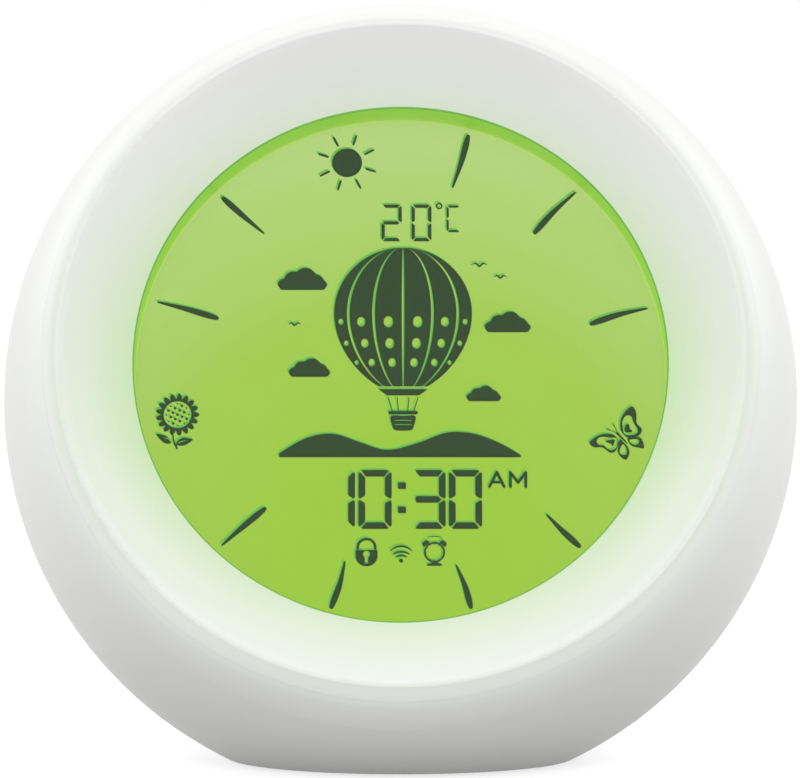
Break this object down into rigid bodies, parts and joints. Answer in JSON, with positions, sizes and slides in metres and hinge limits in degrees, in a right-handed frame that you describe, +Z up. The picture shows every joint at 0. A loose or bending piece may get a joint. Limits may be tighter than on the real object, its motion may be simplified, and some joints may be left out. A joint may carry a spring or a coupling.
{
  "type": "alarm clock",
  "caption": "Ball-shaped children's alarm clock with a round display in a tilted dished face that glows as a night light, rear push buttons and a hinged battery door.",
  "frame": {"origin": "centre of the underside of the standing pad, on the vertical line through the ball's centre", "axes": "+Z up, the tilted face looks towards -Y, +X to the viewer's right seen from the front"},
  "size_m": [0.13, 0.1011, 0.1239],
  "materials": {
    "shell_white": "satin moulded white plastic",
    "ring_translucent": "satin translucent white plastic that scatters the green light",
    "clear_window": "clear polished acrylic",
    "display_glass": "display glass with a green backlight",
    "light_guide": "clear moulded light guide with a dot pattern",
    "reflector_white": "white reflector film",
    "lamp_parts": "small surface-mounted lamps on their strip",
    "inner_white_plastic": "moulded white plastic, unpolished",
    "white_board": "white solder-masked circuit board",
    "green_board": "green solder-masked circuit board",
    "black_plastic": "black moulded plastic",
    "bright_metal": "bright plated steel",
    "flex_film": "flexible film conductor",
    "button_grey": "light grey satin plastic",
    "speaker_paper": "pressed speaker cone",
    "cell_wrap": "plain wrapped battery cell",
    "pad_rubber": "dull black foam rubber"
  },
  "bodies": {
    "housing": {"front_shell": "shell_white", "rear_shell": "shell_white", "face_ring": "ring_translucent", "display_window": "clear_window", "lcd_panel": "display_glass", "light_guide": "light_guide", "reflector_sheet": "reflector_white", "backlight_strip": "lamp_parts", "display_frame": "inner_white_plastic", "glow_board": "white_board", "glow_leds": "lamp_parts", "main_board": "green_board", "main_chip": "black_plastic", "radio_module": "bright_metal", "board_parts": "black_plastic", "lcd_ribbon": "flex_film", "button_board": "green_board", "button_switches": "black_plastic", "slide_switch": "bright_metal", "speaker_basket": "black_plastic", "speaker_cone": "speaker_paper", "speaker_magnet": "bright_metal", "thermistor": "black_plastic", "power_inlet": "black_plastic", "inlet_pin": "bright_metal", "battery_box": "inner_white_plastic", "battery_cells": "cell_wrap", "contact_plates": "bright_metal", "contact_springs": "bright_metal", "base_plate": "shell_white", "base_pad": "pad_rubber", "shell_screws": "bright_metal", "base_screws": "bright_metal", "ring_screws": "bright_metal", "small_screws": "bright_metal", "button_cable": "flex_film"},
    "button_1": {"button_1": "button_grey"},
    "button_2": {"button_2": "button_grey"},
    "button_3": {"button_3": "button_grey"},
    "button_4": {"button_4": "button_grey"},
    "button_5": {"button_5": "button_grey"},
    "lock_slider": {"lock_slider": "button_grey"},
    "battery_door": {"battery_door": "shell_white"}
  },
  "joints": [
    {"name": "button_1_press", "type": "slide", "parent": "housing", "child": "button_1", "axis": [0, -1, 0], "range_m": [0, 0.0008], "stiffness_N_per_m": 1500},
    {"name": "button_2_press", "type": "slide", "parent": "housing", "child": "button_2", "axis": [0, -1, 0], "range_m": [0, 0.0008], "stiffness_N_per_m": 1500},
    {"name": "button_3_press", "type": "slide", "parent": "housing", "child": "button_3", "axis": [0, -1, 0], "range_m": [0, 0.0008], "stiffness_N_per_m": 1500},
    {"name": "button_4_press", "type": "slide", "parent": "housing", "child": "button_4", "axis": [0, -1, 0], "range_m": [0, 0.0008], "stiffness_N_per_m": 1500},
    {"name": "button_5_press", "type": "slide", "parent": "housing", "child": "button_5", "axis": [0, -1, 0], "range_m": [0, 0.0008], "stiffness_N_per_m": 1500},
    {"name": "lock_slider_slide", "type": "slide", "parent": "housing", "child": "lock_slider", "axis": [0, 0, 1], "range_m": [0, 0.004]},
    {"name": "battery_door_hinge", "type": "hinge", "parent": "housing", "child": "battery_door", "pos_m": [0, 0.05092, 0.03592], "axis": [-1, 0, 0], "range_deg": [0, 95]}
  ]
}
